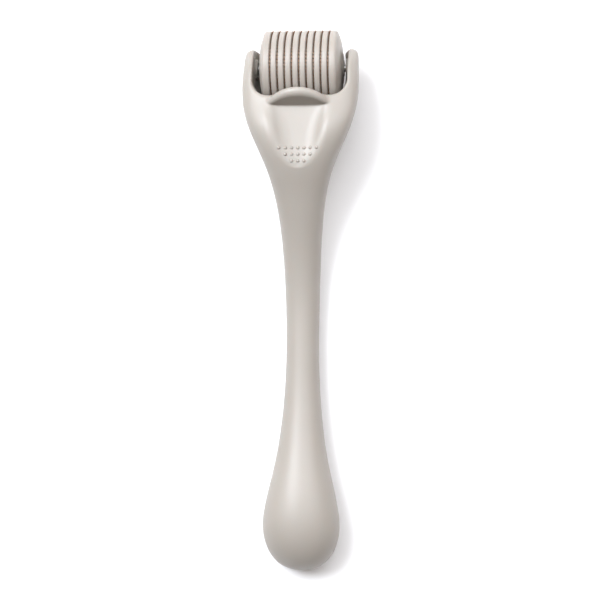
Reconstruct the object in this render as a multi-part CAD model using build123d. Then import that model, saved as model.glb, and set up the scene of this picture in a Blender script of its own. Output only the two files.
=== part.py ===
from build123d import *
import os
from math import cos, pi, radians, sin, tan

# Microneedle roller, in millimetres, lying on its drum and on the bulb of its handle.
# +Y runs along the handle towards the drum, +Z is up and X is the drum's axis.
# The origin is on the surface the roller lies on, below the middle of its length.

LENGTH = 145.2
BULB_END_Y = -LENGTH / 2

# Drum
NEEDLE_RADIUS = 10.25          # to the needle tips, which touch the surface
AXLE_Y = LENGTH / 2 - NEEDLE_RADIUS
AXLE_Z = NEEDLE_RADIUS
DISC_COUNT = 9
DISC_PITCH = 1.9
DISC_THICKNESS = 0.3
DISC_RIM_RADIUS = 9.45
NEEDLES_PER_DISC = 60
NEEDLE_WIDTH = 0.26            # at its root
SPACER_RADIUS = 10.0
SPACER_EDGE = 0.3              # rounding of a spacer's rim
CORE_RADIUS = 6.0
CORE_BORE_RADIUS = 4.6
KEY_WIDTH = 1.2
KEY_HEIGHT = 0.6
KEYED_BORE_GAP = 0.05          # between the core and what slides onto it
CAP_INNER_X = (DISC_COUNT - 1) / 2 * DISC_PITCH + DISC_THICKNESS / 2
CAP_RIM_WIDTH = 2.1
CAP_HALF_WIDTH = 11.05         # from the drum's middle to the cap's outer face
CAP_FACE_RADIUS = 4.2
CAP_SWELL_RADIUS = 7.6
CAP_SWELL = 0.25               # how far the cap's face swells outwards
CAP_PLUG_LENGTH = 4.0
CAP_PLUG_RADIUS = CORE_BORE_RADIUS - KEYED_BORE_GAP
CAP_COLLAR_RADIUS = 2.2
CAP_COLLAR_HALF_WIDTH = 11.35

# Axle pin
PIN_RADIUS = 1.0
PIN_HALF_LENGTH = 14.1
PIN_CHAMFER = 0.2
PIN_SEAT_GAP = 0.02
RUNNING_GAP = 0.05

# Handle
WALL = 1.4
HOLLOW_END_Y = 50.3
FORK_GAP_HALF_WIDTH = 12.5     # at the top, and down to the taper
FORK_GAP_TAPER_Z = (8.5, 10.5)
BOSS_RADIUS = 2.6              # on each arm, about the axle pin
POCKET_HUB_HALF_WIDTH = 11.65  # the turned pocket behind and beside the drum
POCKET_HUB_RADIUS = 3.0
POCKET_RIM_HALF_WIDTH = 10.45
POCKET_RADIUS = 11.0
SADDLE_Y = 53.9                # front edge of the head between hood and arms
SADDLE_CORNER_RADIUS = 4.5
ARM_ROOT_Y = 49.0
ARM_TIP_RADIUS = 5.2
ARM_FRONT_SLOPE = radians(32)  # of the arm's front edge against the upright
ARM_LOWER_SLOPE = radians(3)   # of the arm's lower edge against the level

# Finger-guard hood
HOOD_TOP_Z = 24.3
HOOD_ROOT_Z = 18.6
HOOD_CROWN_RADIUS = 10.8
HOOD_OUTLINE_RADIUS = 13.5
HOOD_FRONT_Y = 55.4
HOOD_BACK_Y = 47.0
HOOD_CLEARANCE_RADIUS = 11.6   # from the axle

# Thumb recess: a floor that falls towards the hood, with leaning sides
RECESS_TIP_Y = 35.0
RECESS_TIP_Z = 21.3
RECESS_BASE_Y = 51.1
RECESS_BASE_Z = 20.1
RECESS_SIDE_SLOPE = radians(48)
RECESS_WALL_SLOPE = radians(62)
RECESS_WALL_HALF_WIDTH = 7.8
RECESS_FLOOR = [               # Y, half width
    (RECESS_TIP_Y, 0.4),
    (36.2, 2.4),
    (40.0, 4.5),
    (44.6, 5.2),
    (RECESS_BASE_Y, 6.9),
]
ABOVE_HEAD_Z = 26.0

DOT_RADIUS = 0.45
DOT_HEIGHT = 0.3
DOT_PITCH_X = 1.65
DOT_PITCH_Y = 1.7
DOT_FIRST_ROW_Y = 40.0
DOTS_PER_ROW = (7, 5, 3)

# Beyond the handle on each side, for the tools that cut it
FAR_X = 20.0
FAR_Y = 80.0
FAR_Z = 40.0

# Outside of the handle, from the bulb to the fork. Each row is a cross-section:
# Y, half width, height of the widest line, rise above it, drop below it, squareness.
SECTIONS = [
    (BULB_END_Y, 1.5, 5.6, 1.3, 1.3, 2.0),
    (-71.8, 4.1, 5.8, 3.3, 3.2, 2.0),
    (-69.7, 7.1, 6.3, 5.7, 5.1, 2.0),
    (-66.3, 9.2, 7.0, 7.3, 6.4, 2.0),
    (-61.2, 10.35, 7.6, 8.2, 7.38, 2.0),
    (-54.5, 9.7, 7.7, 7.9, 7.64, 2.0),
    (-44.8, 7.5, 7.0, 6.4, 6.0, 2.0),
    (-35.2, 5.85, 6.1, 5.2, 4.8, 2.0),
    (-25.6, 4.9, 5.4, 4.5, 4.3, 2.0),
    (-10.9, 4.4, 5.0, 4.1, 4.0, 2.0),
    (0.5, 4.6, 5.3, 4.2, 4.1, 2.0),
    (13.4, 5.15, 7.8, 4.4, 4.7, 2.0),
    (22.9, 6.0, 11.2, 4.5, 5.3, 2.05),
    (29.1, 7.05, 14.0, 4.4, 6.0, 2.1),
    (35.1, 8.8, 16.4, 4.8, 6.4, 2.2),
    (41.0, 11.3, 17.7, 5.2, 7.0, 2.3),
    (47.2, 13.85, 17.6, 5.1, 7.9, 2.4),
    (51.8, 14.95, 16.6, 4.6, 10.0, 2.6),
    (56.9, 15.35, 15.2, 4.8, 11.3, 3.0),
    (62.3, 15.25, 12.8, 5.2, 9.0, 3.2),
    (68.5, 15.0, 9.0, 5.0, 8.0, 3.4),
]
QUARTER_STEPS = 4

# The parting line of the two shells, in side view, as Y and Z. It follows the widest
# line of the handle and then runs down the arms to the axle.
PARTING_LINE = [
    (-80.0, 5.4),
    (-66.3, 7.0),
    (-54.5, 7.7),
    (-35.2, 6.1),
    (-10.9, 5.0),
    (0.5, 5.3),
    (13.4, 7.8),
    (22.9, 11.2),
    (35.1, 16.2),
    (41.0, 17.4),
    (47.2, 17.3),
    (54.5, 15.2),
    (AXLE_Y, AXLE_Z),
    (72.0, 1.0),
]


def cross_section(y, half_width, widest_z, rise, drop, squareness):
    """A rounded face across the handle, its two sides meeting on the middle line."""
    power = 2 / squareness

    def side(sign):
        points = []
        for step in range(2 * QUARTER_STEPS + 1):
            angle = radians(90 - 90 * step / QUARTER_STEPS)
            x = sign * half_width * max(cos(angle), 0.0) ** power
            height = rise if angle > 0 else drop
            z = widest_z + height * abs(sin(angle)) ** power * (1 if angle > 0 else -1)
            points.append(Vector(x, y, z))
        points[0].X = 0.0
        points[-1].X = 0.0
        return points

    knots = [step / (2 * QUARTER_STEPS) for step in range(2 * QUARTER_STEPS + 1)]
    right = side(1)
    left = list(reversed(side(-1)))
    edges = [
        Edge.make_spline(right, tangents=[(1, 0, 0), (-1, 0, 0)], parameters=knots),
        Edge.make_spline(left, tangents=[(-1, 0, 0), (1, 0, 0)], parameters=knots),
    ]
    return Face(Wire(edges))


def lofted(sections):
    return loft([cross_section(*row) for row in sections])


def block(x, y, z):
    """A box from its lowest and highest value along each axis."""
    size = Box(x[1] - x[0], y[1] - y[0], z[1] - z[0])
    return Pos((x[0] + x[1]) / 2, (y[0] + y[1]) / 2, (z[0] + z[1]) / 2) * size


def bar(radius, x_from, x_to, y=AXLE_Y, z=AXLE_Z):
    """A round bar along X."""
    middle = Pos((x_from + x_to) / 2, y, z)
    return middle * Rot(0, 90, 0) * Cylinder(radius, x_to - x_from)


def plan_prism(outline, z_from, z_to):
    """The solid below and above an outline drawn in plan."""
    return Pos(0, 0, z_from) * extrude(make_face(outline), z_to - z_from)


def side_prism(outline, half_width):
    """The solid on both sides of an outline drawn in side view, as Y and Z."""
    face = make_face(outline)
    return extrude(face, half_width, dir=(1, 0, 0), both=True)


def parting_half(above):
    """All the space above or below the parting line."""
    points = [(0, y, z) for y, z in PARTING_LINE]
    line = Spline(*points)
    far = FAR_Z if above else -FAR_Z
    first, last = points[0], points[-1]
    rest = Polyline(last, (0, FAR_Y, far), (0, first[1], far), first)
    return side_prism([line, rest], FAR_X)


def handle_outside():
    """The whole handle as one block, before it is hollowed and parted."""
    stem = lofted(SECTIONS)
    behind_arms = block((-FAR_X, FAR_X), (-FAR_Y, ARM_ROOT_Y), (-FAR_Z, FAR_Z))
    body = stem & (fork_arms() + behind_arms)
    body = body - fork_gap() - drum_pocket() + hood()
    body = body - thumb_recess()
    return body + grip_dots(body)


def fork_arms():
    """The arms in side view: a front and a lower edge that touch the round tip."""
    tip = bar(ARM_TIP_RADIUS, -FAR_X, FAR_X)
    front_y = AXLE_Y + ARM_TIP_RADIUS * cos(ARM_FRONT_SLOPE)
    front_z = AXLE_Z + ARM_TIP_RADIUS * sin(ARM_FRONT_SLOPE)
    lower_y = AXLE_Y - ARM_TIP_RADIUS * sin(ARM_LOWER_SLOPE)
    lower_z = AXLE_Z - ARM_TIP_RADIUS * cos(ARM_LOWER_SLOPE)
    outline = [
        (0, front_y, front_z),
        (0, front_y - (FAR_Z - front_z) * tan(ARM_FRONT_SLOPE), FAR_Z),
        (0, ARM_ROOT_Y, FAR_Z),
        (0, ARM_ROOT_Y, lower_z + (lower_y - ARM_ROOT_Y) * tan(ARM_LOWER_SLOPE)),
        (0, lower_y, lower_z),
        (0, AXLE_Y, AXLE_Z),
    ]
    return tip + side_prism([Polyline(*outline, close=True)], FAR_X)


def gap_outline(half_width):
    """The gap between the arms in plan, with round inner corners."""
    corners = [
        (-half_width, SADDLE_Y),
        (half_width, SADDLE_Y),
        (half_width, FAR_Y),
        (-half_width, FAR_Y),
    ]
    outline = make_face(Polyline(*corners, close=True))
    return fillet(outline.vertices().group_by(Axis.Y)[0], SADDLE_CORNER_RADIUS)


def fork_gap():
    """The upright gap between the arms, which narrows downwards, round a boss for the pin."""
    low_z, high_z = FORK_GAP_TAPER_Z
    wide = Pos(0, 0, high_z) * gap_outline(FORK_GAP_HALF_WIDTH)
    narrow = Pos(0, 0, low_z) * gap_outline(POCKET_HUB_HALF_WIDTH)
    gap = extrude(wide, FAR_Z - high_z) + loft([narrow, wide])
    left_boss = bar(BOSS_RADIUS, -FAR_X, -POCKET_HUB_HALF_WIDTH)
    right_boss = bar(BOSS_RADIUS, POCKET_HUB_HALF_WIDTH, FAR_X)
    return gap - left_boss - right_boss


def drum_pocket():
    """The turned room about the axle, which follows the ends of the drum."""
    right = [
        (POCKET_HUB_HALF_WIDTH, 0),
        (POCKET_HUB_HALF_WIDTH, POCKET_HUB_RADIUS),
        (POCKET_RIM_HALF_WIDTH, POCKET_RADIUS),
    ]
    left = [(-x, radius) for x, radius in reversed(right)]
    profile = make_face(Polyline(*right, *left, close=True))
    return Pos(0, AXLE_Y, AXLE_Z) * revolve(profile, Axis.X)


def hood():
    """The finger guard: a crowned lip that stands over the drum."""
    disc = Pos(0, HOOD_FRONT_Y - HOOD_OUTLINE_RADIUS, HOOD_ROOT_Z) * Cylinder(
        HOOD_OUTLINE_RADIUS, FAR_Z - HOOD_ROOT_Z, align=(Align.CENTER, Align.CENTER, Align.MIN)
    )
    crown = Pos(0, HOOD_FRONT_Y, HOOD_TOP_Z - HOOD_CROWN_RADIUS) * Rot(90, 0, 0)
    crown = crown * Cylinder(HOOD_CROWN_RADIUS, FAR_Z)
    front = block((-FAR_X, FAR_X), (HOOD_BACK_Y, FAR_Y), (HOOD_ROOT_Z, FAR_Z))
    return (disc & crown & front) - bar(HOOD_CLEARANCE_RADIUS, -FAR_X, FAR_X)


def recess_floor_z(y):
    share = (y - RECESS_TIP_Y) / (RECESS_BASE_Y - RECESS_TIP_Y)
    return RECESS_TIP_Z + (RECESS_BASE_Z - RECESS_TIP_Z) * share


def thumb_recess():
    """The space above the recess floor, up to the leaning wall below the hood."""

    def section(y, half_width):
        z = recess_floor_z(y)
        lean = (ABOVE_HEAD_Z - z) / tan(RECESS_SIDE_SLOPE)
        outline = [
            (-half_width, y, z),
            (half_width, y, z),
            (half_width + lean, y, ABOVE_HEAD_Z),
            (-half_width - lean, y, ABOVE_HEAD_Z),
        ]
        return make_face(Polyline(*outline, close=True))

    trough = loft([section(*row) for row in RECESS_FLOOR])
    overlap = 0.5
    wall_lean = (ABOVE_HEAD_Z - RECESS_BASE_Z) / tan(RECESS_WALL_SLOPE)
    wall = [
        (0, RECESS_BASE_Y - overlap, RECESS_BASE_Z),
        (0, RECESS_BASE_Y, RECESS_BASE_Z),
        (0, RECESS_BASE_Y + wall_lean, ABOVE_HEAD_Z),
        (0, RECESS_BASE_Y - overlap, ABOVE_HEAD_Z),
    ]
    return trough + side_prism([Polyline(*wall, close=True)], RECESS_WALL_HALF_WIDTH)


def grip_dots(body):
    """Low round dots whose tops follow the recess floor at one height."""
    posts = []
    for row, count in enumerate(DOTS_PER_ROW):
        y = DOT_FIRST_ROW_Y - row * DOT_PITCH_Y
        post_z = recess_floor_z(y) - WALL / 2
        for column in range(count):
            x = (column - (count - 1) / 2) * DOT_PITCH_X
            post = Cylinder(DOT_RADIUS, FAR_Z, align=(Align.CENTER, Align.CENTER, Align.MIN))
            posts.append(Pos(x, y, post_z) * post)
    around = block((-FAR_X, FAR_X), (RECESS_TIP_Y - WALL, RECESS_BASE_Y), (0, FAR_Z))
    raised = Pos(0, 0, DOT_HEIGHT) * (body & around)
    return [raised & post for post in posts]


def handle_inside():
    """The hollow inside the handle, clear of the recess floor and of the drum's pocket."""
    inner = []
    for y, half_width, widest_z, rise, drop, squareness in SECTIONS[1:-3]:
        inner.append((y, half_width - WALL, widest_z, rise - WALL, drop - WALL, squareness))
    hollow = lofted(inner)
    hollow = hollow - bar(POCKET_RADIUS + WALL, -FAR_X, FAR_X)
    hollow = hollow - block((-FAR_X, FAR_X), (HOLLOW_END_Y, FAR_Y), (-FAR_Z, FAR_Z))
    recess_body_y = RECESS_TIP_Y - 2 * WALL
    roof_z = RECESS_BASE_Z - WALL
    return hollow - block((-FAR_X, FAR_X), (recess_body_y, FAR_Y), (roof_z, FAR_Z))


def axle_seats():
    radius = PIN_RADIUS + PIN_SEAT_GAP
    length = PIN_HALF_LENGTH + PIN_SEAT_GAP
    return bar(radius, -length, length)


def keyway(x_from, x_to, gap):
    height = CORE_RADIUS + KEY_HEIGHT + gap
    half = KEY_WIDTH / 2 + gap
    return block((x_from, x_to), (AXLE_Y - half, AXLE_Y + half), (AXLE_Z, AXLE_Z + height))


def needle_disc(x):
    """A thin disc with sharp points all round its rim and a keyed bore."""
    half_angle = NEEDLE_WIDTH / 2 / DISC_RIM_RADIUS
    points = []
    for number in range(NEEDLES_PER_DISC):
        angle = 2 * pi * number / NEEDLES_PER_DISC
        needle = [(-half_angle, DISC_RIM_RADIUS), (0, NEEDLE_RADIUS), (half_angle, DISC_RIM_RADIUS)]
        for turn, radius in needle:
            points.append((radius * cos(angle + turn), radius * sin(angle + turn)))
    plate = extrude(make_face(Polyline(*points, close=True)), DISC_THICKNESS)
    plate = Pos(x - DISC_THICKNESS / 2, AXLE_Y, AXLE_Z) * Rot(0, 90, 0) * plate
    bore = bar(CORE_RADIUS + KEYED_BORE_GAP, x - 1, x + 1)
    return plate - bore - keyway(x - 1, x + 1, KEYED_BORE_GAP)


def spacer_ring(x):
    width = DISC_PITCH - DISC_THICKNESS
    ring = bar(SPACER_RADIUS, x - width / 2, x + width / 2)
    ring = fillet(ring.edges(), SPACER_EDGE)
    bore = bar(CORE_RADIUS + KEYED_BORE_GAP, x - 2, x + 2)
    return ring - bore - keyway(x - 2, x + 2, KEYED_BORE_GAP)


def drum_core():
    half = CAP_INNER_X
    tube = bar(CORE_RADIUS, -half, half) + (
        keyway(-half, half, 0) - bar(CORE_BORE_RADIUS, -half, half)
    )
    return tube - bar(CORE_BORE_RADIUS, -half, half)


def end_cap(side):
    """A rim, a face that swells outwards to the bearing collar, and a plug inside the core."""
    bore = PIN_RADIUS + RUNNING_GAP
    plug_x = CAP_INNER_X - CAP_PLUG_LENGTH
    rim_x = CAP_INNER_X + CAP_RIM_WIDTH
    face = Polyline((CAP_HALF_WIDTH, CAP_FACE_RADIUS), (CAP_HALF_WIDTH, CAP_COLLAR_RADIUS))
    swell = Spline(
        (rim_x, SPACER_RADIUS),
        ((rim_x + CAP_HALF_WIDTH) / 2 + CAP_SWELL, CAP_SWELL_RADIUS),
        (CAP_HALF_WIDTH, CAP_FACE_RADIUS),
    )
    outline = [
        Polyline((plug_x, bore), (plug_x, CAP_PLUG_RADIUS)),
        Polyline((plug_x, CAP_PLUG_RADIUS), (CAP_INNER_X, CAP_PLUG_RADIUS)),
        Polyline((CAP_INNER_X, CAP_PLUG_RADIUS), (CAP_INNER_X, SPACER_RADIUS)),
        Polyline((CAP_INNER_X, SPACER_RADIUS), (rim_x, SPACER_RADIUS)),
        swell,
        face,
        Polyline((CAP_HALF_WIDTH, CAP_COLLAR_RADIUS), (CAP_COLLAR_HALF_WIDTH, CAP_COLLAR_RADIUS)),
        Polyline((CAP_COLLAR_HALF_WIDTH, CAP_COLLAR_RADIUS), (CAP_COLLAR_HALF_WIDTH, bore)),
        Polyline((CAP_COLLAR_HALF_WIDTH, bore), (plug_x, bore)),
    ]
    cap = revolve(make_face(outline), Axis.X)
    if side < 0:
        cap = mirror(cap, Plane.YZ)
    return Pos(0, AXLE_Y, AXLE_Z) * cap


def axle_pin():
    pin = bar(PIN_RADIUS, -PIN_HALF_LENGTH, PIN_HALF_LENGTH)
    return chamfer(pin.edges().filter_by(GeomType.CIRCLE), PIN_CHAMFER)


outside = handle_outside()
shell = outside - handle_inside() - axle_seats()
nodes = {
    "front_shell": shell & parting_half(True),
    "back_shell": shell & parting_half(False),
    "axle_pin": axle_pin(),
    "drum_core": drum_core(),
    "end_cap_left": end_cap(-1),
    "end_cap_right": end_cap(1),
}
for number in range(DISC_COUNT):
    disc_x = (number - (DISC_COUNT - 1) / 2) * DISC_PITCH
    nodes[f"needle_disc_{number + 1}"] = needle_disc(disc_x)
for number in range(DISC_COUNT - 1):
    spacer_x = (number - (DISC_COUNT - 2) / 2) * DISC_PITCH
    nodes[f"spacer_ring_{number + 1}"] = spacer_ring(spacer_x)

os.makedirs("parts", exist_ok=True)
for name, solid in nodes.items():
    export_step(solid, f"parts/{name}.step")
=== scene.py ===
"""The looks of a needle roller: the handle's two mouldings, its grip dots and the drum."""

import math

import bpy
import numpy as np
from mathutils import Matrix, Vector


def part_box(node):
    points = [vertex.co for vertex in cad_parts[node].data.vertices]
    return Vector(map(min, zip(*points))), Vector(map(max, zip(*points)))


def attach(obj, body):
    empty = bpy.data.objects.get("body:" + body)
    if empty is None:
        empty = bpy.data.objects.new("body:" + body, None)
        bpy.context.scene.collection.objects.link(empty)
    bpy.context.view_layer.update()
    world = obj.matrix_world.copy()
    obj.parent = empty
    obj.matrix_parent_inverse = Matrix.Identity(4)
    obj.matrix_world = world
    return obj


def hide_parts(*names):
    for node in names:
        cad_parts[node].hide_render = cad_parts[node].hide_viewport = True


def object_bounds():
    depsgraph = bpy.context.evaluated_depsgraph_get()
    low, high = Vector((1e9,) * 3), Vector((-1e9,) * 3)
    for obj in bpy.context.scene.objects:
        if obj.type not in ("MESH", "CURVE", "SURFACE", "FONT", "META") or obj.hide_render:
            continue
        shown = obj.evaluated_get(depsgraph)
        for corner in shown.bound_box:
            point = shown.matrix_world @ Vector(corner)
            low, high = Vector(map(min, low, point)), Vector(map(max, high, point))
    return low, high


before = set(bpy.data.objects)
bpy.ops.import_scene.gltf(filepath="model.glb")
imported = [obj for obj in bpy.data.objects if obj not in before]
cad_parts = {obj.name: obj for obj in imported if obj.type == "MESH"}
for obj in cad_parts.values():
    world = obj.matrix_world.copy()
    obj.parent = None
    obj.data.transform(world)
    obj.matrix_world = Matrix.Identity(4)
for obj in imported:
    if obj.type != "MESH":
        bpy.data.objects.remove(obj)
cad_low, cad_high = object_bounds()

# Lengths are in millimetres up to the moment a mesh is made.
MM = 0.001

# ---------------------------------------------------------------- sizes from the frame


def numbered(prefix):
    """The frame's nodes whose names start with a prefix, in the order of their numbers."""
    names = [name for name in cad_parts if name.startswith(prefix)]
    return sorted(names, key=lambda name: int(name[len(prefix):]))


def node_box(node):
    """A node's lowest and highest corner in millimetres."""
    low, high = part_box(node)
    return Vector(low) / MM, Vector(high) / MM


DISCS = numbered("needle_disc_")
SPACERS = numbered("spacer_ring_")
pin_low, pin_high = node_box("axle_pin")
AXLE_Y = (pin_low.y + pin_high.y) / 2
AXLE_Z = (pin_low.z + pin_high.z) / 2
disc_low, disc_high = node_box(DISCS[0])
NEEDLE_TIP_RADIUS = (disc_high.y - disc_low.y) / 2
DISC_THICKNESS = disc_high.x - disc_low.x
spacer_low, spacer_high = node_box(SPACERS[0])
SPACER_RADIUS = (spacer_high.y - spacer_low.y) / 2
BULB_END_Y = cad_low[1] / MM

# ---------------------------------------------------------------- shape of the handle

# A softness is the width over which two surfaces round into each other.

# Y, half width, height of the widest line, rise above it, drop below it, squareness
STATIONS = np.array([
    (BULB_END_Y, 0.0, 5.6, 0.0, 0.0, 2.0),
    (-71.8, 4.1, 5.8, 3.3, 3.2, 2.0),
    (-69.7, 7.1, 6.3, 5.7, 5.1, 2.0),
    (-66.3, 9.2, 7.0, 7.3, 6.4, 2.0),
    (-61.2, 10.35, 7.6, 8.2, 7.38, 2.0),
    (-54.5, 9.7, 7.7, 7.9, 7.64, 2.0),
    (-44.8, 7.5, 7.0, 6.4, 6.0, 2.0),
    (-35.2, 5.85, 6.1, 5.2, 4.8, 2.0),
    (-25.6, 4.9, 5.4, 4.5, 4.3, 2.0),
    (-10.9, 4.4, 5.0, 4.1, 4.0, 2.0),
    (0.5, 4.6, 5.3, 4.2, 4.1, 2.0),
    (13.4, 5.15, 7.8, 4.4, 4.7, 2.0),
    (22.9, 6.0, 11.2, 4.5, 5.3, 2.05),
    (29.1, 7.05, 14.0, 4.4, 6.0, 2.1),
    (35.1, 8.8, 16.4, 4.8, 6.4, 2.2),
    (41.0, 11.3, 17.7, 5.2, 7.0, 2.3),
    (47.2, 13.85, 17.6, 5.1, 7.9, 2.4),
    (51.8, 14.95, 16.6, 4.6, 10.0, 2.6),
    (56.9, 15.35, 15.2, 4.8, 11.3, 3.0),
    (62.3, 15.25, 12.8, 5.2, 9.0, 3.2),
    (68.5, 15.0, 9.0, 5.0, 8.0, 3.4),
])

# The line on which the two shells meet, in side view: Y, Z
PARTING = np.array([
    (-80.0, 5.4),
    (-66.3, 7.0),
    (-54.5, 7.7),
    (-35.2, 6.1),
    (-10.9, 5.0),
    (0.5, 5.3),
    (13.4, 7.8),
    (22.9, 11.2),
    (35.1, 16.2),
    (41.0, 17.4),
    (47.2, 17.3),
    (54.5, 15.2),
    (AXLE_Y, AXLE_Z),
    (72.0, 1.0),
])

# The thumb recess in plan: Y, half width
RECESS = np.array([(35.0, 0.0), (36.2, 2.6), (40.0, 5.3), (44.6, 6.7), (51.1, 7.8), (56.0, 8.2)])
RECESS_TIP_Y = RECESS[0, 0]
RECESS_BASE_Y = 51.1
RECESS_TIP_Z = 21.3
RECESS_BASE_Z = 20.1
RECESS_HOLLOW = 0.35          # the floor's rise from the middle to the sides
RECESS_HOLLOW_HALF_WIDTH = 7.8
RECESS_SOFTNESS = 1.7         # between the floor and the sides
RECESS_WALL_SOFTNESS = 0.2
RECESS_EDGE_SOFTNESS = 1.2
RECESS_EDGE_SHARPENING = 0.3  # how much less soft the edge is beside the hood
RECESS_SHARPENING_START_Y = 49.0
RECESS_SHARPENING_LENGTH = 2.5
RECESS_WALL_SLOPE = math.radians(62)
RECESS_SIDE_SLOPE = math.radians(48)
RECESS_BASE_HALF_WIDTH = 8.2

HOOD_TOP_Z = 24.3
HOOD_CROWN_RADIUS = 10.8
HOOD_OUTLINE_RADIUS = 13.5
HOOD_FRONT_Y = 55.4
HOOD_BACK_Y = 47.0
HOOD_CLEARANCE_RADIUS = 11.6
HOOD_CLEARANCE_SOFTNESS = 0.6
HOOD_LIP_SOFTNESS = 1.0
HOOD_ROOT_SOFTNESS = 0.7

FORK_GAP_HALF_WIDTH = 12.5
FORK_GAP_TAPER = (8.5, 10.5)  # the heights between which the gap narrows
POCKET_HUB_HALF_WIDTH = 11.65
POCKET_HUB_RADIUS = 3.0
BOSS_RADIUS = 2.6
POCKET_RIM_HALF_WIDTH = 10.45
SADDLE_Y = 53.9
SADDLE_CORNER_RADIUS = 4.5
POCKET_RADIUS = 11.0
GAP_FOOT_SOFTNESS = 0.8
GAP_EDGE_SOFTNESS = 0.9
BOSS_SOFTNESS = 0.3
POCKET_SOFTNESS = 0.6
GAP_TO_POCKET_SOFTNESS = 0.5
ARM_START_Y = 48.0
ARM_SOFTNESS = 2.2
ARM_TIP_RADIUS = 5.2
ARM_FRONT_SLOPE = math.radians(32)
ARM_LOWER_SLOPE = math.radians(3)

WALL = 1.4
HOLLOW_START_Y = BULB_END_Y + WALL
SEAM_GAP = 0.03
SEAM_SOFTNESS = 0.3
PIN_PLAY = 0.02
PIN_END_PLAY = 0.05
PIN_SEAT_RADIUS = (pin_high.y - pin_low.y) / 2 + PIN_PLAY
PIN_SEAT_HALF_LENGTH = pin_high.x + PIN_END_PLAY
SHELL_GRID = 0.3              # the spacing of the points on the shells

DOT_PITCH_X = 1.65
DOT_PITCH_Y = 1.7
DOT_FIRST_ROW_Y = 40.0
DOTS_PER_ROW = (7, 5, 3)
DOT_RADIUS = 0.5
DOT_FLATTENING = 0.75         # a dot's height as a share of its radius
DOT_SINK = 0.1


def smooth_curve(knots, values):
    """The natural cubic spline through the values, as a function."""
    count = len(knots)
    gaps = np.diff(knots)
    slopes = np.diff(values) / gaps
    matrix = np.eye(count)
    right = np.zeros(count)
    for i in range(1, count - 1):
        matrix[i, i - 1:i + 2] = gaps[i - 1], 2 * (gaps[i - 1] + gaps[i]), gaps[i]
        right[i] = 6 * (slopes[i] - slopes[i - 1])
    bends = np.linalg.solve(matrix, right)

    def at(y):
        i = np.clip(np.searchsorted(knots, y) - 1, 0, count - 2)
        gap = gaps[i]
        before = y - knots[i]
        after = knots[i + 1] - y
        cubic = (bends[i] * after ** 3 + bends[i + 1] * before ** 3) / (6 * gap)
        first = (values[i] / gap - bends[i] * gap / 6) * after
        second = (values[i + 1] / gap - bends[i + 1] * gap / 6) * before
        return cubic + first + second

    return at


def smooth_max(a, b, width):
    """The larger of two distances, with the edge between them rounded over a width."""
    overlap = np.maximum(width - np.abs(a - b), 0) / width
    return np.maximum(a, b) + overlap ** 2 * width / 4


def smooth_min(a, b, width):
    """The smaller of two distances, rounded in the same way."""
    return -smooth_max(-a, -b, width)


# Widths and heights are squared, which rounds the ends where they reach zero.
width_squared = smooth_curve(STATIONS[:, 0], STATIONS[:, 1] ** 2)
widest_height = smooth_curve(STATIONS[:, 0], STATIONS[:, 2])
rise_squared = smooth_curve(STATIONS[:, 0], STATIONS[:, 3] ** 2)
drop_squared = smooth_curve(STATIONS[:, 0], STATIONS[:, 4] ** 2)
squareness = smooth_curve(STATIONS[:, 0], STATIONS[:, 5])
parting_height = smooth_curve(PARTING[:, 0], PARTING[:, 1])
recess_squared = smooth_curve(RECESS[:, 0], RECESS[:, 1] ** 2)

# Every shape below is a function of x, y and z that is negative inside the shape and grows
# about as fast as the distance to its surface.


def stem(x, y, z):
    """The handle before anything is cut away or added."""
    least_width2 = 0.01
    least_height2 = least_width2 * 0.6
    end_slack = 0.3           # keeps the division safe where the width reaches zero
    width2 = width_squared(y)
    above = z - widest_height(y)
    height2 = np.where(above > 0, rise_squared(y), drop_squared(y))
    stretch = np.sqrt(np.maximum(width2, least_width2) / np.maximum(height2, least_height2))
    power = squareness(y)
    across = np.abs(x)
    up = np.abs(above) * stretch
    reach = (across ** power + up ** power) ** (1 / power) + 1e-6
    growth_across = (across / reach) ** (power - 1)
    growth_up = stretch * (up / reach) ** (power - 1)
    growth = np.sqrt(growth_across ** 2 + growth_up ** 2)
    half_width = np.sqrt(np.maximum(width2, 0))
    return (reach ** 2 - width2) / (reach + half_width + end_slack) / growth


def arm_profile(y, z):
    """The arms in side view: a front edge and a lower edge, joined by the round tip."""
    ahead = y - AXLE_Y
    up = z - AXLE_Z
    front = ahead * math.cos(ARM_FRONT_SLOPE) + up * math.sin(ARM_FRONT_SLOPE)
    lower = -up * math.cos(ARM_LOWER_SLOPE) - ahead * math.sin(ARM_LOWER_SLOPE)
    angle = np.arctan2(up, ahead)
    at_tip = (angle < ARM_FRONT_SLOPE) & (angle > -math.pi / 2 - ARM_LOWER_SLOPE)
    reach = np.where(at_tip, np.hypot(ahead, up), np.maximum(front, lower))
    return reach - ARM_TIP_RADIUS


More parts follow.
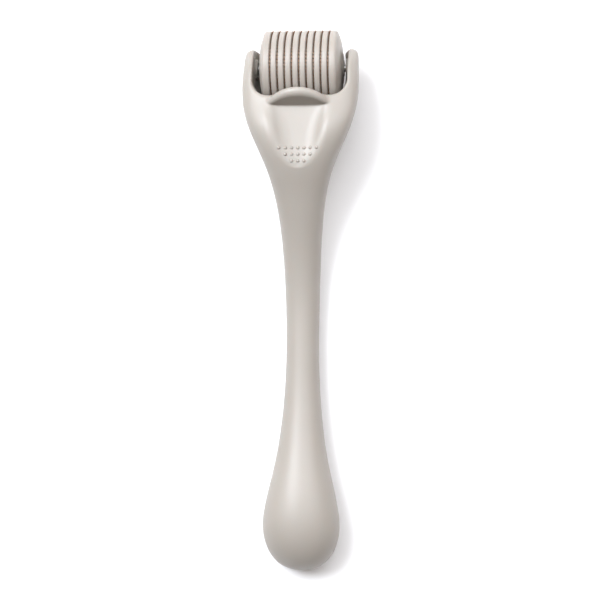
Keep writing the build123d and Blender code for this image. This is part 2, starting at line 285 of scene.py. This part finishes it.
def fork_gap(x, y, z):
    """The room for the drum: an upright gap with round inner corners, which narrows downwards,
    and a turned pocket that follows the drum's ends, less the bosses round the pin."""
    low_z, high_z = FORK_GAP_TAPER
    share = np.clip((high_z - z) / (high_z - low_z), 0, 1)
    half = FORK_GAP_HALF_WIDTH + (POCKET_HUB_HALF_WIDTH - FORK_GAP_HALF_WIDTH) * share
    across = np.abs(x) - half + SADDLE_CORNER_RADIUS
    along = SADDLE_Y + SADDLE_CORNER_RADIUS - y
    outside = np.hypot(np.maximum(across, 0), np.maximum(along, 0))
    upright = outside + np.minimum(np.maximum(across, along), 0) - SADDLE_CORNER_RADIUS
    upright = smooth_max(upright, low_z - z, GAP_FOOT_SOFTNESS)
    from_axle = np.hypot(y - AXLE_Y, z - AXLE_Z)
    boss = np.maximum(from_axle - BOSS_RADIUS, POCKET_HUB_HALF_WIDTH - np.abs(x))
    upright = smooth_max(upright, -boss, BOSS_SOFTNESS)
    cone = np.clip((from_axle - POCKET_HUB_RADIUS) / (POCKET_RADIUS - POCKET_HUB_RADIUS), 0, 1)
    room = POCKET_HUB_HALF_WIDTH + (POCKET_RIM_HALF_WIDTH - POCKET_HUB_HALF_WIDTH) * cone
    pocket = smooth_max(from_axle - POCKET_RADIUS, np.abs(x) - room, POCKET_SOFTNESS)
    return smooth_min(upright, pocket, GAP_TO_POCKET_SOFTNESS)


def hood(x, y, z):
    """The finger guard: a crowned lip with a round outline that stands over the drum."""
    outline = np.hypot(x, y - HOOD_FRONT_Y + HOOD_OUTLINE_RADIUS) - HOOD_OUTLINE_RADIUS
    crown = np.hypot(x, z - HOOD_TOP_Z + HOOD_CROWN_RADIUS) - HOOD_CROWN_RADIUS
    lip = smooth_max(outline, crown, HOOD_LIP_SOFTNESS)
    lip = np.maximum(lip, HOOD_BACK_Y - y)
    from_axle = np.hypot(y - AXLE_Y, z - AXLE_Z)
    return smooth_max(lip, HOOD_CLEARANCE_RADIUS - from_axle, HOOD_CLEARANCE_SOFTNESS)


def thumb_recess(x, y, z, cover):
    """The space above the recess floor, up to the leaning wall below the hood. The cover is how
    far a point lies outside the head's own surface, on which the recess has its outline."""
    half = np.sqrt(np.maximum(recess_squared(y), 0.01))
    beside = (x ** 2 - recess_squared(y)) / (np.abs(x) + half + 0.5)
    share = (y - RECESS_TIP_Y) / (RECESS_BASE_Y - RECESS_TIP_Y)
    middle = RECESS_TIP_Z + (RECESS_BASE_Z - RECESS_TIP_Z) * share
    floor = middle + RECESS_HOLLOW * (x / RECESS_HOLLOW_HALF_WIDTH) ** 2
    sides = beside * math.sin(RECESS_SIDE_SLOPE) - cover * math.cos(RECESS_SIDE_SLOPE)
    reach = 1 - np.clip(np.abs(x) / RECESS_BASE_HALF_WIDTH, 0, 1) ** 4
    lean = (z - RECESS_BASE_Z) / math.tan(RECESS_WALL_SLOPE) * reach
    wall = (y - RECESS_BASE_Y - lean) * math.sin(RECESS_WALL_SLOPE)
    space = smooth_max(sides, floor - z, RECESS_SOFTNESS)
    return smooth_max(space, wall, RECESS_WALL_SOFTNESS)


def handle_outside(x, y, z):
    """The finished outside: the stem with its arms, fork gap, hood and thumb recess."""
    cover = stem(x, y, z)
    far_inside = -10.0
    arms = np.where(y > ARM_START_Y, arm_profile(y, z), far_inside)
    body = smooth_max(cover, arms, ARM_SOFTNESS)
    body = smooth_max(body, -fork_gap(x, y, z), GAP_EDGE_SOFTNESS)
    body = smooth_min(body, hood(x, y, z), HOOD_ROOT_SOFTNESS)
    share = np.clip((y - RECESS_SHARPENING_START_Y) / RECESS_SHARPENING_LENGTH, 0, 1)
    softness = RECESS_EDGE_SOFTNESS - RECESS_EDGE_SHARPENING * share
    return smooth_max(body, -thumb_recess(x, y, z, cover), softness)


def handle_wall(x, y, z):
    """The handle as a hollow shell with the seats for the axle pin."""
    outside = handle_outside(x, y, z)
    hollow = np.maximum(outside + WALL, HOLLOW_START_Y - y)
    wall = np.maximum(outside, -hollow)
    seat = np.maximum(
        np.hypot(y - AXLE_Y, z - AXLE_Z) - PIN_SEAT_RADIUS, np.abs(x) - PIN_SEAT_HALF_LENGTH
    )
    return np.maximum(wall, -seat)


def above_seam(y, z):
    """How far a point lies above the line on which the shells meet."""
    probe = 0.05
    slope = (parting_height(y + probe) - parting_height(y - probe)) / (2 * probe)
    return (z - parting_height(y)) / np.sqrt(1 + slope ** 2)


def front_shell_field(x, y, z):
    return smooth_max(handle_wall(x, y, z), SEAM_GAP - above_seam(y, z), SEAM_SOFTNESS)


def back_shell_field(x, y, z):
    return smooth_max(handle_wall(x, y, z), SEAM_GAP + above_seam(y, z), SEAM_SOFTNESS)


# ---------------------------------------------------------------- meshes


def mesh_object(name, points, faces, material):
    """A smooth-shaded object from points in millimetres."""
    mesh = bpy.data.meshes.new(name)
    mesh.from_pydata((np.asarray(points) * MM).tolist(), [], np.asarray(faces).tolist())
    mesh.validate()
    mesh.polygons.foreach_set("use_smooth", np.ones(len(mesh.polygons), dtype=bool))
    mesh.materials.append(material)
    piece = bpy.data.objects.new(name, mesh)
    bpy.context.scene.collection.objects.link(piece)
    return piece


def net_around(field, low, high, step):
    """Points and quads of the surface where a field is zero, one point to each grid cell."""
    axes = [np.arange(a, b + step, step) for a, b in zip(low, high)]
    value = field(axes[0][:, None, None], axes[1][None, :, None], axes[2][None, None, :])
    inside = value < 0
    cells = tuple(size - 1 for size in value.shape)
    corners = [(i, j, k) for i in (0, 1) for j in (0, 1) for k in (0, 1)]

    def corner(array, offset):
        return array[tuple(slice(o, o + c) for o, c in zip(offset, cells))]

    filled = sum(corner(inside, offset).astype(np.int8) for offset in corners)
    active = (filled > 0) & (filled < 8)
    number = np.full(cells, -1)
    number[active] = np.arange(active.sum())
    where = np.argwhere(active)

    total = np.zeros((len(where), 3))
    crossings = np.zeros(len(where))
    for start in corners:
        for axis in range(3):
            if start[axis]:
                continue
            end = tuple(o + (a == axis) for a, o in enumerate(start))
            first = corner(value, start)[active]
            last = corner(value, end)[active]
            crossed = (first < 0) != (last < 0)
            share = np.where(crossed, first / np.where(crossed, first - last, 1), 0)
            place = (where + np.array(start)).astype(float)
            place[:, axis] += share
            total += place * crossed[:, None]
            crossings += crossed
    points = total / crossings[:, None] * step + np.array([axis[0] for axis in axes])

    faces = []
    for axis in range(3):
        b, c = (axis + 1) % 3, (axis + 2) % 3
        lower = [slice(None)] * 3
        upper = [slice(None)] * 3
        lower[axis] = slice(0, -1)
        upper[axis] = slice(1, None)
        changes = inside[tuple(lower)] != inside[tuple(upper)]
        edges = np.argwhere(changes)
        edges = edges[(edges[:, b] > 0) & (edges[:, c] > 0)]
        edges = edges[(edges[:, b] < cells[b]) & (edges[:, c] < cells[c])]
        around = []
        for db, dc in ((1, 1), (0, 1), (0, 0), (1, 0)):
            cell = edges.copy()
            cell[:, b] -= db
            cell[:, c] -= dc
            around.append(number[tuple(cell.T)])
        quads = np.stack(around, axis=1)
        leaves = inside[tuple(edges.T)]
        quads[~leaves] = quads[~leaves][:, ::-1]
        faces.append(quads)
    return points, np.concatenate(faces)


def settle(field, points, step, rounds=3):
    """Moves points onto the surface of a field."""
    probe = 0.02
    flattest = 0.05
    limit = step * 0.5
    for _ in range(rounds):
        value = field(*points.T)
        slope = np.zeros_like(points)
        for axis in range(3):
            shift = np.zeros(3)
            shift[axis] = probe
            slope[:, axis] = field(*(points + shift).T) - field(*(points - shift).T)
        slope /= 2 * probe
        steep = np.maximum((slope ** 2).sum(axis=1), flattest)
        move = -value[:, None] * slope / steep[:, None]
        length = np.linalg.norm(move, axis=1)
        points = points + move * np.minimum(1, limit / np.maximum(length, 1e-9))[:, None]
    return points


def shell(name, field, step, material):
    """One of the handle's two mouldings, which rides the handle in place of its node."""
    low, high = node_box(name)
    margin = 3 * step
    low = np.array(low) - margin
    high = np.array(high) + margin
    points, faces = net_around(field, low, high, step)
    points = settle(field, points, step)
    piece = mesh_object(name + "_moulding", points, faces, material)
    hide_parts(name)
    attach(piece, "handle")


def arc(centre_x, centre_radius, radius, start, end, steps=6):
    """Points of an arc in a turned outline, from one angle to another in degrees."""
    angles = np.radians(np.linspace(start, end, steps + 1))
    return [(centre_x + radius * math.cos(a), centre_radius + radius * math.sin(a)) for a in angles]


def turned(name, outline, material, segments=144):
    """A body of revolution about the axle, from a closed outline of X and radius."""
    outline = np.array(outline)
    along, out = outline.T
    area = np.sum(along * np.roll(out, -1) - np.roll(along, -1) * out)
    if area > 0:
        outline = outline[::-1]
    count = len(outline)
    points = []
    for step in range(segments):
        angle = 2 * math.pi * step / segments
        for x, radius in outline:
            points.append((x, AXLE_Y + radius * math.cos(angle), AXLE_Z + radius * math.sin(angle)))
    faces = []
    for step in range(segments):
        here = step * count
        there = (step + 1) % segments * count
        for i in range(count):
            j = (i + 1) % count
            faces.append((here + i, here + j, there + j, there + i))
    return mesh_object(name, points, faces, material)


# ---------------------------------------------------------------- materials

CLOUD_SIZE = 14 * MM
WAVE_SIZE = 5 * MM


def linear(hex_colour):
    """An sRGB hex colour as the linear colour that Blender's sockets hold."""
    parts = [int(hex_colour[i:i + 2], 16) / 255 for i in (0, 2, 4)]
    return tuple(p / 12.92 if p <= 0.04045 else ((p + 0.055) / 1.055) ** 2.4 for p in parts) + (1.0,)


def add_node(tree, kind, inputs=None, **settings):
    """Adds a node, sets its properties and sets or links its inputs."""
    node = tree.nodes.new(kind)
    for key, value in settings.items():
        setattr(node, key, value)
    for key, value in (inputs or {}).items():
        if isinstance(value, bpy.types.NodeSocket):
            tree.links.new(value, node.inputs[key])
        else:
            node.inputs[key].default_value = value
    return node


def new_material(name):
    """An empty node material, with the Object coordinates that its patterns read."""
    material = bpy.data.materials.new(name)
    material.use_nodes = True
    tree = material.node_tree
    tree.nodes.clear()
    place = add_node(tree, "ShaderNodeTexCoord").outputs["Object"]
    return material, tree, place


def finish_material(tree, shader):
    """Ends a material in its shader."""
    add_node(tree, "ShaderNodeOutputMaterial", {"Surface": shader.outputs[0]})


def satin_abs(name, light, deep, roughness, grain_mm):
    """Injection-moulded ABS from a finely eroded tool: the resin flow leaves faint clouds of
    colour, and the tool's fine grain scatters the highlight into a satin sheen."""
    material, tree, place = new_material(name)
    spread = 0.05
    clouds = add_node(
        tree,
        "ShaderNodeTexNoise",
        {"Vector": place, "Scale": 1 / CLOUD_SIZE, "Detail": 3.0, "Roughness": 0.5},
    )
    colour = add_node(tree, "ShaderNodeMix", {"Factor": clouds.outputs["Fac"]}, data_type="RGBA")
    colour.inputs["A"].default_value = linear(light)
    colour.inputs["B"].default_value = linear(deep)
    grain = add_node(
        tree,
        "ShaderNodeTexNoise",
        {"Vector": place, "Scale": 1 / (grain_mm * MM), "Detail": 2.0, "Roughness": 0.6},
    )
    waves = add_node(
        tree, "ShaderNodeTexNoise", {"Vector": place, "Scale": 1 / WAVE_SIZE, "Detail": 1.0}
    )
    finish = add_node(
        tree,
        "ShaderNodeMapRange",
        {
            "Value": grain.outputs["Fac"],
            "From Min": 0.3,
            "From Max": 0.7,
            "To Min": roughness - spread,
            "To Max": roughness + spread,
        },
    )
    swell = add_node(
        tree, "ShaderNodeBump", {"Height": waves.outputs["Fac"], "Distance": 0.02 * MM, "Strength": 0.5}
    )
    texture = add_node(
        tree,
        "ShaderNodeBump",
        {
            "Height": grain.outputs["Fac"],
            "Distance": 0.012 * MM,
            "Strength": 0.6,
            "Normal": swell.outputs["Normal"],
        },
    )
    shader = add_node(
        tree,
        "ShaderNodeBsdfPrincipled",
        {
            "Base Color": colour.outputs["Result"],
            "Roughness": finish.outputs["Result"],
            "Normal": texture.outputs["Normal"],
            "IOR": 1.53,
            "Subsurface Weight": 0.08,
            "Subsurface Scale": 0.0006,
        },
    )
    finish_material(tree, shader)
    return material


def steel(name, colour, roughness, mark_mm):
    """Stainless steel: a grey metal whose rolling or drawing marks break up the shine."""
    material, tree, place = new_material(name)
    spread = 0.08
    shade = 0.8
    stretch = add_node(tree, "ShaderNodeMapping", {"Vector": place, "Scale": (0.15, 1.0, 1.0)})
    marks = add_node(
        tree,
        "ShaderNodeTexNoise",
        {"Vector": stretch.outputs["Vector"], "Scale": 1 / (mark_mm * MM), "Detail": 3.0},
    )
    tint = add_node(tree, "ShaderNodeMix", {"Factor": marks.outputs["Fac"]}, data_type="RGBA")
    base = linear(colour)
    tint.inputs["A"].default_value = base
    tint.inputs["B"].default_value = tuple(shade * c for c in base[:3]) + (1.0,)
    finish = add_node(
        tree,
        "ShaderNodeMapRange",
        {"Value": marks.outputs["Fac"], "To Min": roughness - spread, "To Max": roughness + spread},
    )
    bump = add_node(
        tree, "ShaderNodeBump", {"Height": marks.outputs["Fac"], "Distance": 0.004 * MM, "Strength": 0.5}
    )
    shader = add_node(
        tree,
        "ShaderNodeBsdfPrincipled",
        {
            "Base Color": tint.outputs["Result"],
            "Roughness": finish.outputs["Result"],
            "Normal": bump.outputs["Normal"],
            "Metallic": 1.0,
        },
    )
    finish_material(tree, shader)
    return material


handle_abs = satin_abs("warm_grey_abs_satin", "9B958D", "979189", 0.44, 0.25)
drum_abs = satin_abs("warm_grey_abs_drum", "9E978F", "9A938B", 0.46, 0.2)
core_abs = satin_abs("warm_grey_abs_plain", "C4BDB6", "C1BAB3", 0.5, 0.3)
# Etched needle sheet: acid leaves it dull. Its colour, browner and darker than the bare metal, is
# painted shade that stands for the shadow in the grooves between the rings.
etched_steel_painted_shade = steel("etched_sheet_painted_shade", "8A6F5B", 0.5, 0.3)
# Ground wire: fine marks along the pin.
ground_steel = steel("ground_stainless_wire", "B9B8B6", 0.28, 0.1)

# ---------------------------------------------------------------- shells

shell("front_shell", front_shell_field, SHELL_GRID, handle_abs)
shell("back_shell", back_shell_field, SHELL_GRID, handle_abs)

# ---------------------------------------------------------------- geometry node helpers


def new_tree(name, inputs):
    """A geometry node tree with a geometry input, named inputs and a geometry output."""
    tree = bpy.data.node_groups.new(name, "GeometryNodeTree")
    tree.interface.new_socket("Geometry", in_out="INPUT", socket_type="NodeSocketGeometry")
    for label, kind, value in inputs:
        socket = tree.interface.new_socket(label, in_out="INPUT", socket_type=kind)
        socket.default_value = value
    tree.interface.new_socket("Geometry", in_out="OUTPUT", socket_type="NodeSocketGeometry")
    given = tree.nodes.new("NodeGroupInput")
    return tree, given


def grown(seed, name, tree, values, material):
    """The plain mesh that a tree makes from a seed object."""
    modifier = seed.modifiers.new("grow", "NODES")
    modifier.node_group = tree
    for item in tree.interface.items_tree:
        if item.in_out == "INPUT" and item.name in values:
            modifier[item.identifier] = values[item.name]
    evaluated = seed.evaluated_get(bpy.context.evaluated_depsgraph_get())
    mesh = bpy.data.meshes.new_from_object(evaluated)
    mesh.name = name
    mesh.polygons.foreach_set("use_smooth", np.ones(len(mesh.polygons), dtype=bool))
    mesh.materials.clear()
    mesh.materials.append(material)
    bpy.data.objects.remove(seed)
    piece = bpy.data.objects.new(name, mesh)
    bpy.context.scene.collection.objects.link(piece)
    return piece


# ---------------------------------------------------------------- grip dots


def dot_tree(material):
    """A low dome on each point of the seed."""
    tree, given = new_tree("grip_dot_field", [("Radius", "NodeSocketFloat", DOT_RADIUS * MM)])
    dome = add_node(
        tree,
        "GeometryNodeMeshUVSphere",
        {"Segments": 20, "Rings": 12, "Radius": given.outputs["Radius"]},
    )
    squashed = add_node(
        tree,
        "GeometryNodeTransform",
        {"Geometry": dome.outputs["Mesh"], "Scale": (1.0, 1.0, DOT_FLATTENING)},
    )
    placed = add_node(
        tree,
        "GeometryNodeInstanceOnPoints",
        {"Points": given.outputs["Geometry"], "Instance": squashed.outputs["Geometry"]},
    )
    real = add_node(
        tree, "GeometryNodeRealizeInstances", {"Geometry": placed.outputs["Instances"]}
    )
    finished = add_node(
        tree, "GeometryNodeSetMaterial", {"Geometry": real.outputs["Geometry"], "Material": material}
    )
    add_node(tree, "NodeGroupOutput", {"Geometry": finished.outputs["Geometry"]})
    return tree


def floor_height(x, y):
    """The height of the finished recess floor, found on the handle's own surface."""
    samples = 400
    heights = np.linspace(RECESS_BASE_Z - 1, RECESS_TIP_Z + 3, samples)
    value = handle_outside(np.full(samples, x), np.full(samples, y), heights)
    return heights[np.argmax(value > 0)]


dot_centres = []
for row, row_count in enumerate(DOTS_PER_ROW):
    dot_y = DOT_FIRST_ROW_Y - row * DOT_PITCH_Y
    for column in range(row_count):
        dot_x = (column - (row_count - 1) / 2) * DOT_PITCH_X
        dot_centres.append((dot_x, dot_y, floor_height(dot_x, dot_y) - DOT_SINK))
dot_seed = mesh_object("dot_seed", dot_centres, [], handle_abs)
dots = grown(dot_seed, "grip_dots", dot_tree(handle_abs), {"Radius": DOT_RADIUS * MM}, handle_abs)
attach(dots, "handle")

# ---------------------------------------------------------------- drum

CORE_BORE = 6.05             # radius of the hole in discs and spacers, round the core
EDGE = 0.3                   # radius of a rim's rounded corners
GROOVE_FLOOR_RADIUS = 9.5
GROOVE_SIDE = 0.1            # how much each side of a spacer's rim is set back
DISC_RIM_RADIUS = 9.45
NEEDLE_ROOT_RADIUS = DISC_RIM_RADIUS - 0.1
NEEDLE_LENGTH = NEEDLE_TIP_RADIUS - NEEDLE_ROOT_RADIUS
NEEDLE_POINT_RADIUS = 0.01
NEEDLES_PER_DISC = 60


def spacer_outline(low_x, high_x):
    """A spacer ring in section: bore, grooved sides and a rim with rounded corners."""
    corner = SPACER_RADIUS - EDGE
    rim_low = low_x + GROOVE_SIDE
    rim_high = high_x - GROOVE_SIDE
    outline = [(low_x, CORE_BORE), (low_x, GROOVE_FLOOR_RADIUS), (rim_low, GROOVE_FLOOR_RADIUS)]
    outline += arc(rim_low + EDGE, corner, EDGE, 180, 90)
    outline += arc(rim_high - EDGE, corner, EDGE, 90, 0)
    outline += [(rim_high, GROOVE_FLOOR_RADIUS), (high_x, GROOVE_FLOOR_RADIUS), (high_x, CORE_BORE)]
    return outline


for node in SPACERS:
    low, high = node_box(node)
    ring = turned(node + "_ring", spacer_outline(low.x, high.x), drum_abs)
    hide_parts(node)
    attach(ring, "roller")


def needle_tree(material):
    """The seed disc with one needle to each step round its rim."""
    tree, given = new_tree(
        "needle_crown",
        [
            ("Needles", "NodeSocketInt", NEEDLES_PER_DISC),
            ("Root Radius", "NodeSocketFloat", NEEDLE_ROOT_RADIUS * MM),
            ("Length", "NodeSocketFloat", NEEDLE_LENGTH * MM),
            ("Root Thickness", "NodeSocketFloat", DISC_THICKNESS / 2 * MM),
            ("Centre", "NodeSocketVector", (0.0, 0.0, 0.0)),
        ],
    )
    circle = add_node(
        tree,
        "GeometryNodeMeshCircle",
        {"Vertices": given.outputs["Needles"], "Radius": given.outputs["Root Radius"]},
    )
    needle = add_node(
        tree,
        "GeometryNodeMeshCone",
        {
            "Vertices": 8,
            "Radius Top": NEEDLE_POINT_RADIUS * MM,
            "Radius Bottom": given.outputs["Root Thickness"],
            "Depth": given.outputs["Length"],
        },
    )
    outwards = add_node(
        tree,
        "FunctionNodeAlignRotationToVector",
        {"Vector": add_node(tree, "GeometryNodeInputPosition").outputs["Position"]},
        axis="Z",
    )
    crown = add_node(
        tree,
        "GeometryNodeInstanceOnPoints",
        {
            "Points": circle.outputs["Mesh"],
            "Instance": needle.outputs["Mesh"],
            "Rotation": outwards.outputs["Rotation"],
        },
    )
    upright = add_node(
        tree,
        "GeometryNodeTransform",
        {
            "Geometry": crown.outputs["Instances"],
            "Translation": given.outputs["Centre"],
            "Rotation": (0.0, math.pi / 2, 0.0),
        },
    )
    both = add_node(tree, "GeometryNodeJoinGeometry")
    tree.links.new(given.outputs["Geometry"], both.inputs["Geometry"])
    tree.links.new(upright.outputs["Geometry"], both.inputs["Geometry"])
    real = add_node(tree, "GeometryNodeRealizeInstances", {"Geometry": both.outputs["Geometry"]})
    finished = add_node(
        tree, "GeometryNodeSetMaterial", {"Geometry": real.outputs["Geometry"], "Material": material}
    )
    add_node(tree, "NodeGroupOutput", {"Geometry": finished.outputs["Geometry"]})
    return tree


# The needles and their discs take the etched sheet's colour, which is painted shade for the grooves.
needle_crown = needle_tree(etched_steel_painted_shade)
for node in DISCS:
    low, high = node_box(node)
    plate = [(low.x, CORE_BORE), (low.x, DISC_RIM_RADIUS), (high.x, DISC_RIM_RADIUS), (high.x, CORE_BORE)]
    seed = turned(node + "_seed", plate, etched_steel_painted_shade)
    values = {
        "Needles": NEEDLES_PER_DISC,
        "Root Radius": NEEDLE_ROOT_RADIUS * MM,
        "Length": NEEDLE_LENGTH * MM,
        "Root Thickness": DISC_THICKNESS / 2 * MM,
        "Centre": ((low.x + high.x) / 2 * MM, AXLE_Y * MM, AXLE_Z * MM),
    }
    disc = grown(seed, node + "_needles", needle_crown, values, etched_steel_painted_shade)
    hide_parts(node)
    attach(disc, "roller")


CAP_BORE = 1.05
CAP_PLUG_RADIUS = 4.55
CAP_RIM_WIDTH = 2.1
CAP_SHOULDER_RADIUS = 0.9
CAP_SHOULDER_END = 22        # degrees from the axle's direction, where the face begins
CAP_SWELL = 0.35
CAP_SWELL_STEPS = 16
CAP_SWELL_SET_BACK = 0.25
CAP_SWELL_END_RADIUS = 4.4
CAP_FLAT_RADIUS = 3.9
COLLAR_HEIGHT = 0.3
COLLAR_RADII = (2.5, 2.25, 2.2, 2.1)
COLLAR_EDGE = 0.1


def cap_outline(side):
    """An end cap: plug, rim, swelling face and bearing collar, from the drum outwards."""
    cap_low, cap_high = node_box("end_cap_right")
    plug_x, collar_x = cap_low.x, cap_high.x
    inner_x = node_box(DISCS[-1])[1].x
    rim_low = inner_x + GROOVE_SIDE
    rim_x = inner_x + CAP_RIM_WIDTH
    face_x = collar_x - COLLAR_HEIGHT
    outline = [
        (plug_x, CAP_BORE),
        (plug_x, CAP_PLUG_RADIUS),
        (inner_x, CAP_PLUG_RADIUS),
        (inner_x, GROOVE_FLOOR_RADIUS),
        (rim_low, GROOVE_FLOOR_RADIUS),
    ]
    outline += arc(rim_low + EDGE, SPACER_RADIUS - EDGE, EDGE, 180, 90)
    bend = CAP_SHOULDER_RADIUS
    outline += arc(rim_x - bend, SPACER_RADIUS - bend, bend, 90, CAP_SHOULDER_END, 10)
    start_x, start_radius = outline[-1]
    for step in range(1, CAP_SWELL_STEPS + 1):
        share = step / CAP_SWELL_STEPS
        swell = CAP_SWELL * math.sin(math.pi * share)
        x = start_x + (face_x - CAP_SWELL_SET_BACK - start_x) * share + swell
        outline.append((x, start_radius + (CAP_SWELL_END_RADIUS - start_radius) * share))
    outline += [(face_x, CAP_FLAT_RADIUS)]
    collar = (face_x, face_x + COLLAR_EDGE, collar_x - COLLAR_EDGE, collar_x)
    outline += list(zip(collar, COLLAR_RADII))
    outline += [(collar_x, CAP_BORE)]
    return [(side * x, radius) for x, radius in outline]


for node, side in (("end_cap_left", -1), ("end_cap_right", 1)):
    cap = turned(node + "_moulding", cap_outline(side), drum_abs)
    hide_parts(node)
    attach(cap, "roller")

for node, material in (("axle_pin", ground_steel), ("drum_core", core_abs)):
    for material_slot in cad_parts[node].material_slots:
        material_slot.material = material

# ---------------------------------------------------------------- stage

FLOOR_REACH = 1.5
FLOOR_CORNERS = [(x * FLOOR_REACH, y * FLOOR_REACH, 0) for x, y in ((-1, -1), (1, -1), (1, 1), (-1, 1))]
floor_mesh = bpy.data.meshes.new("floor")
floor_mesh.from_pydata(FLOOR_CORNERS, [], [(0, 1, 2, 3)])
floor = bpy.data.objects.new("floor", floor_mesh)
bpy.context.scene.collection.objects.link(floor)
paper, paper_tree, _ = new_material("white_paper_sweep")
finish_material(
    paper_tree,
    add_node(paper_tree, "ShaderNodeBsdfPrincipled", {"Base Color": linear("F3F3F3"), "Roughness": 0.9}),
)
floor_mesh.materials.append(paper)

world = bpy.data.worlds.new("soft_room")
world.use_nodes = True
room = world.node_tree
background = room.nodes["Background"]
background.inputs["Color"].default_value = linear("FFECDC")
direction = add_node(room, "ShaderNodeTexCoord")
parts = add_node(room, "ShaderNodeSeparateXYZ", {"Vector": direction.outputs["Generated"]})
# The room is brighter on the drum's side than on the bulb's.
falloff = add_node(
    room,
    "ShaderNodeMapRange",
    {"Value": parts.outputs["Y"], "From Min": -0.8, "From Max": 0.8, "To Min": 0.14, "To Max": 0.40},
)
room.links.new(falloff.outputs["Result"], background.inputs["Strength"])
bpy.context.scene.world = world
bpy.context.scene.view_settings.view_transform = "Standard"


LIGHT_AIM = Vector((0.0, 0.0, 0.01))


def area_light(name, place, size, watts, colour):
    """A round softbox that faces the middle of the handle."""
    lamp = bpy.data.lights.new(name, "AREA")
    lamp.shape = "DISK"
    lamp.size = size
    lamp.energy = watts
    lamp.color = linear(colour)[:3]
    holder = bpy.data.objects.new(name, lamp)
    holder.location = place
    holder.rotation_euler = (LIGHT_AIM - Vector(place)).to_track_quat("-Z", "Y").to_euler()
    bpy.context.scene.collection.objects.link(holder)


area_light("key_softbox", (-0.40, 0.36, 0.74), 0.5, 11.0, "F3F8FF")
area_light("overhead_softbox", (0.02, 0.5, 1.0), 0.9, 7.0, "F6F9FF")
area_light("fill_softbox", (0.44, 0.34, 0.72), 0.7, 4.0, "F6F9FF")

# ---------------------------------------------------------------- camera

CAMERA_DISTANCE = 0.348
SIDE_TILT = math.radians(5.6)
FRAME_TURN = math.radians(-0.24)
AIM = Vector((-0.00031, 0.0005, 0.01025))
SENSOR = 36.0
VIEW_WIDTH = 0.16056

lens = bpy.data.cameras.new("camera")
lens.sensor_width = SENSOR
lens.lens = SENSOR * CAMERA_DISTANCE / VIEW_WIDTH
lens.clip_start = 0.01
camera = bpy.data.objects.new("camera", lens)
camera.location = AIM + CAMERA_DISTANCE * Vector((math.sin(SIDE_TILT), 0, math.cos(SIDE_TILT)))
turn = Matrix.Rotation(SIDE_TILT, 3, "Y") @ Matrix.Rotation(-FRAME_TURN, 3, "Z")
camera.rotation_euler = turn.to_euler()
bpy.context.scene.collection.objects.link(camera)
bpy.context.scene.camera = camera
